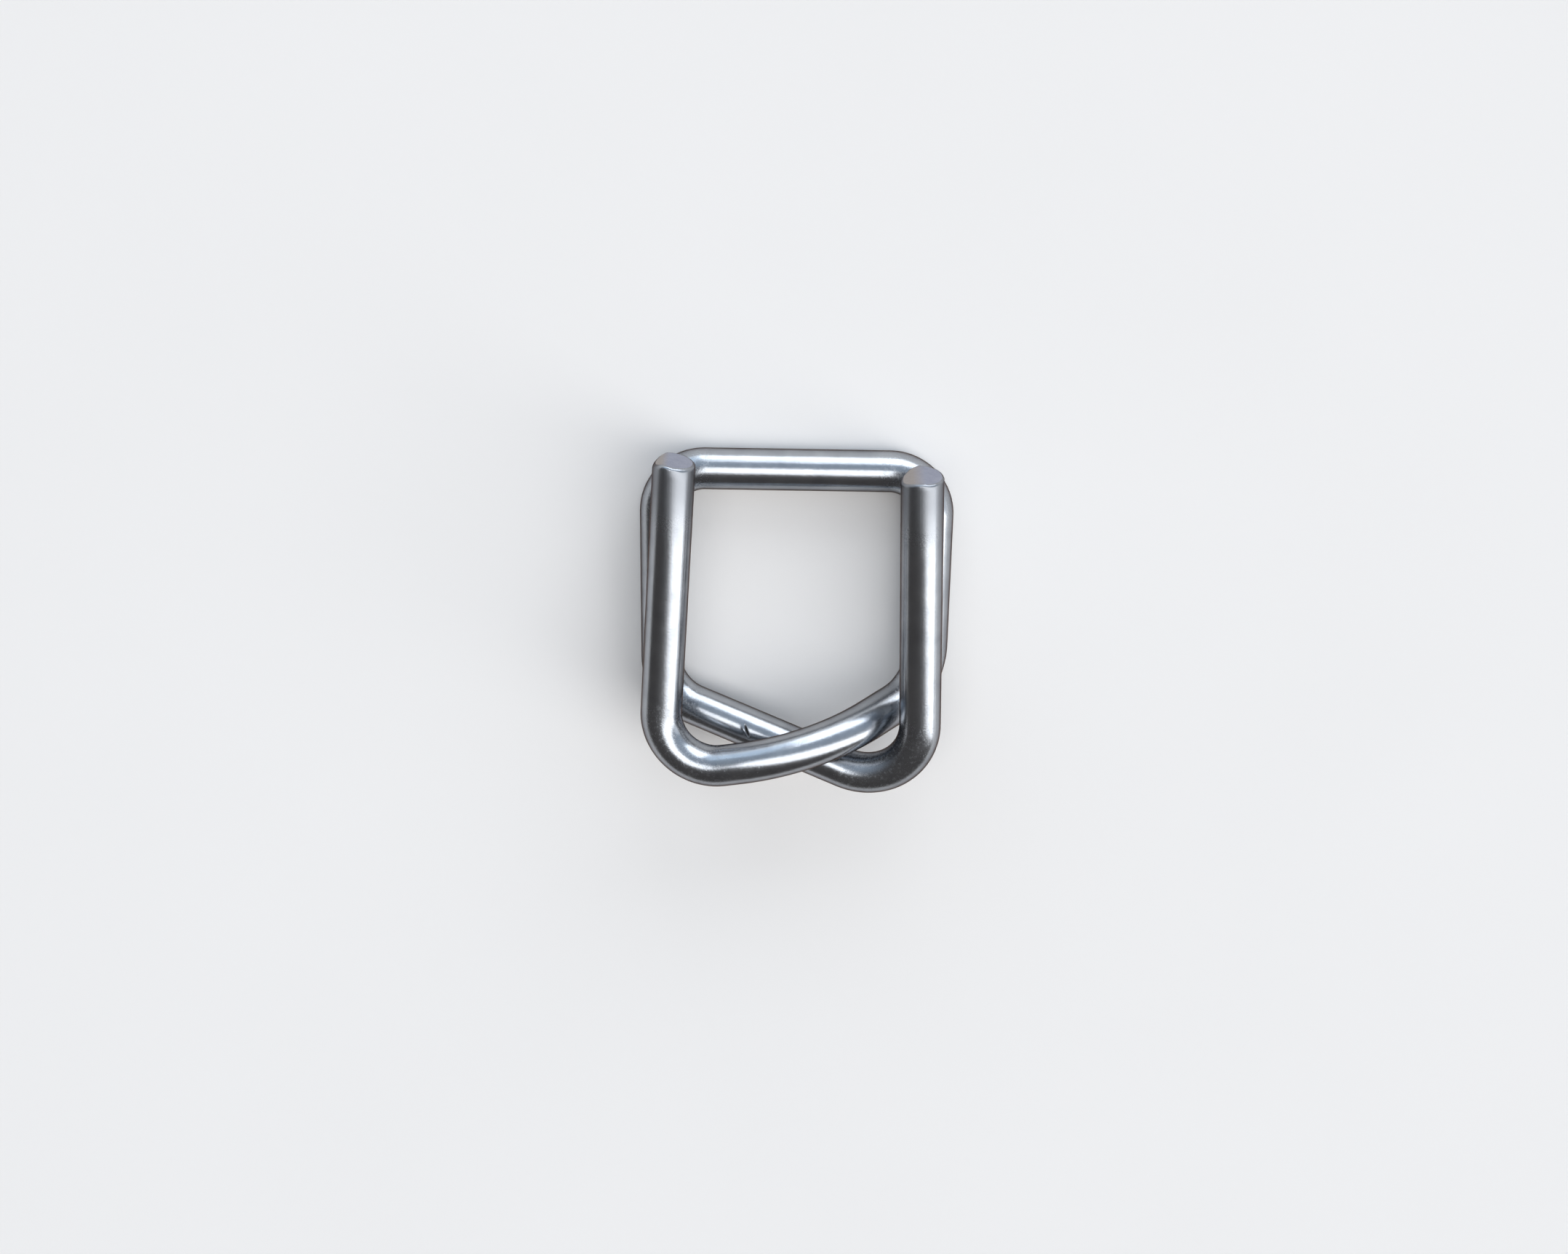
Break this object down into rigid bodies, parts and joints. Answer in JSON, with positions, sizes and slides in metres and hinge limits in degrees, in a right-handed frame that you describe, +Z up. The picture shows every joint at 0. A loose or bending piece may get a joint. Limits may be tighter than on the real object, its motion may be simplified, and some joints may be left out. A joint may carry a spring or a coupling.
{
  "type": "strapping buckle",
  "caption": "Strapping buckle bent from round steel wire: a flat back frame, crossed strands and front prongs that grip the loops of a packing strap.",
  "frame": {"origin": "under the middle of the buckle, on the surface it lies on", "axes": "+Y from the crossed strands towards the bar, +Z up from the back frame towards the prongs"},
  "size_m": [0.0318, 0.0357, 0.0132],
  "materials": {
    "zinc_wire": "bright zinc plate on drawn wire, scuffed at the bends"
  },
  "bodies": {
    "root": {"buckle_wire": "zinc_wire"}
  },
  "joints": []
}
